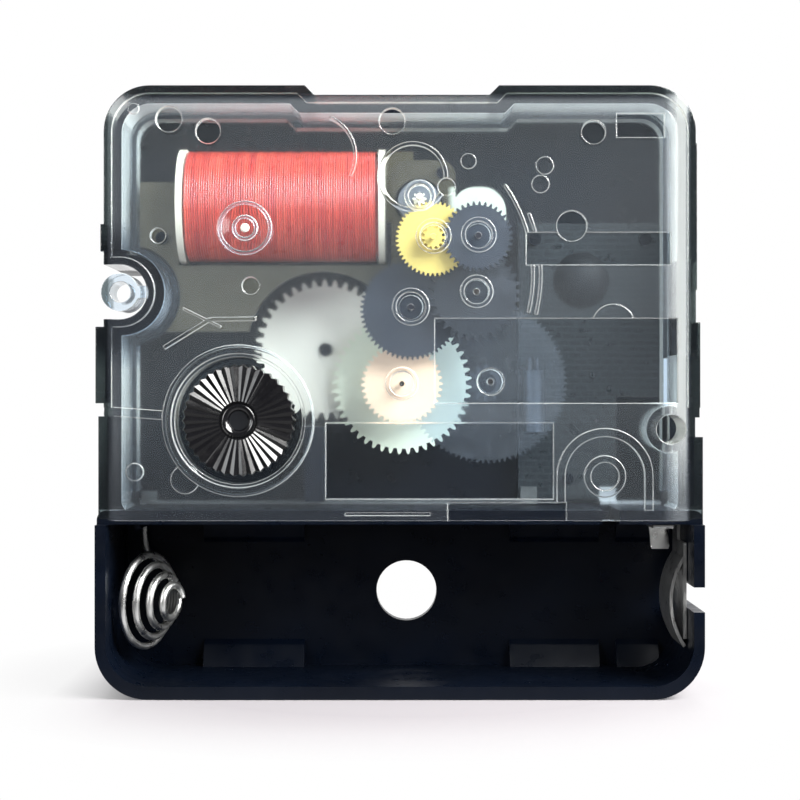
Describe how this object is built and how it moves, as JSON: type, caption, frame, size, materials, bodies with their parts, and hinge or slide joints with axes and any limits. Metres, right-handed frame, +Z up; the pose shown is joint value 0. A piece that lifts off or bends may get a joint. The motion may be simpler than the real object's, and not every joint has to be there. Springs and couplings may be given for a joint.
{
  "type": "quartz clock movement",
  "caption": "Square battery clock movement with a translucent back cover over its coil and wheel train, an open cell bay, a ribbed setting knob and three nested hand shafts.",
  "frame": {"origin": "centre-shaft axis on the seating face of the case, the face that lies against the dial", "axes": "+Y along the hand shafts, out of the dial side; +Z up, away from the battery bay; +X to the right as seen from the back, the side with the knob"},
  "size_m": [0.056, 0.031, 0.0563],
  "materials": {
    "black_case": "moulded black plastic, satin",
    "smoky_cover": "translucent smoky plastic",
    "brass": "turned brass",
    "cream_plastic": "moulded",
    "red_wire": "enamelled fine wire",
    "core_steel": "punched soft iron",
    "magnet": "sintered",
    "white_plastic": "natural moulded",
    "yellow_plastic": "moulded",
    "grey_plastic": "moulded",
    "dark_plastic": "moulded",
    "pin_steel": "polished steel",
    "pink_plastic": "moulded",
    "pale_green_plastic": "moulded",
    "gloss_black": "glossy moulded plastic",
    "black_plastic": "moulded",
    "board": "coated board",
    "plated_wire": "nickel plated"
  },
  "bodies": {
    "case": {"front_case": "black_case", "back_cover": "smoky_cover", "centre_bushing": "brass", "coil_bobbin": "cream_plastic", "coil_winding": "red_wire", "coil_outer_turns": "red_wire", "coil_core": "core_steel", "stator_plate": "core_steel", "circuit_board": "board", "chip_blob": "black_plastic", "crystal_can": "pin_steel", "negative_spring": "plated_wire", "negative_strip": "plated_wire", "positive_contact": "plated_wire"},
    "rotor": {"rotor_magnet": "magnet", "rotor_pinion": "white_plastic"},
    "first": {"first_wheel": "yellow_plastic"},
    "second": {"second_wheel": "grey_plastic"},
    "fourth": {"fourth_wheel": "dark_plastic", "fourth_arbor": "pin_steel"},
    "fifth": {"fifth_wheel": "grey_plastic"},
    "seconds": {"seconds_wheel": "pink_plastic", "seconds_shaft": "pin_steel"},
    "third": {"third_wheel": "dark_plastic"},
    "centre": {"centre_wheel": "pale_green_plastic"},
    "minute": {"minute_shaft": "brass", "clutch_spring": "brass", "clutch_collar": "brass"},
    "motion": {"motion_wheel": "white_plastic"},
    "hour": {"hour_wheel": "black_plastic"},
    "setting": {"setting_knob": "gloss_black", "setting_stem": "black_plastic"}
  },
  "joints": [
    {"name": "rotor_spin", "type": "hinge", "parent": "case", "child": "rotor", "pos_m": [0.00163, 0, 0.01725], "axis": [0, -1, 0], "continuous": true},
    {"name": "first_spin", "type": "hinge", "parent": "case", "child": "first", "pos_m": [0.0029, 0, 0.01354], "axis": [0, -1, 0], "continuous": true},
    {"name": "second_spin", "type": "hinge", "parent": "case", "child": "second", "pos_m": [0.00705, 0, 0.01366], "axis": [0, -1, 0], "continuous": true},
    {"name": "fourth_spin", "type": "hinge", "parent": "case", "child": "fourth", "pos_m": [0.00686, 0, 0.00846], "axis": [0, -1, 0], "continuous": true},
    {"name": "fifth_spin", "type": "hinge", "parent": "case", "child": "fifth", "pos_m": [0.00082, 0, 0.00706], "axis": [0, -1, 0], "continuous": true},
    {"name": "seconds_spin", "type": "hinge", "parent": "case", "child": "seconds", "pos_m": [0, 0, 0], "axis": [0, -1, 0], "continuous": true},
    {"name": "third_spin", "type": "hinge", "parent": "case", "child": "third", "pos_m": [0.00816, 0, 0.00019], "axis": [0, -1, 0], "continuous": true},
    {"name": "centre_spin", "type": "hinge", "parent": "case", "child": "centre", "pos_m": [0, 0, 0], "axis": [0, -1, 0], "continuous": true},
    {"name": "setting_spin", "type": "hinge", "parent": "case", "child": "setting", "pos_m": [-0.01501, 0, -0.00339], "axis": [0, -1, 0], "continuous": true},
    {"name": "motion_spin", "type": "hinge", "parent": "case", "child": "motion", "pos_m": [-0.00746, 0, 0.00341], "axis": [0, -1, 0], "continuous": true},
    {"name": "minute_spin", "type": "hinge", "parent": "case", "child": "minute", "pos_m": [0, 0, 0], "axis": [0, -1, 0], "continuous": true},
    {"name": "hour_spin", "type": "hinge", "parent": "case", "child": "hour", "pos_m": [0, 0, 0], "axis": [0, -1, 0], "continuous": true}
  ],
  "couplings": [
    {"joint": "rotor_spin", "follows": "seconds_spin", "ratio": -240},
    {"joint": "first_spin", "follows": "seconds_spin", "ratio": 40},
    {"joint": "second_spin", "follows": "seconds_spin", "ratio": -13.333},
    {"joint": "fourth_spin", "follows": "seconds_spin", "ratio": 3.3333},
    {"joint": "fifth_spin", "follows": "seconds_spin", "ratio": -1.1111},
    {"joint": "third_spin", "follows": "seconds_spin", "ratio": -0.066667},
    {"joint": "centre_spin", "follows": "seconds_spin", "ratio": 0.016667},
    {"joint": "motion_spin", "follows": "setting_spin", "ratio": -0.55},
    {"joint": "minute_spin", "follows": "setting_spin", "ratio": 2.2},
    {"joint": "hour_spin", "follows": "setting_spin", "ratio": 0.18333}
  ]
}
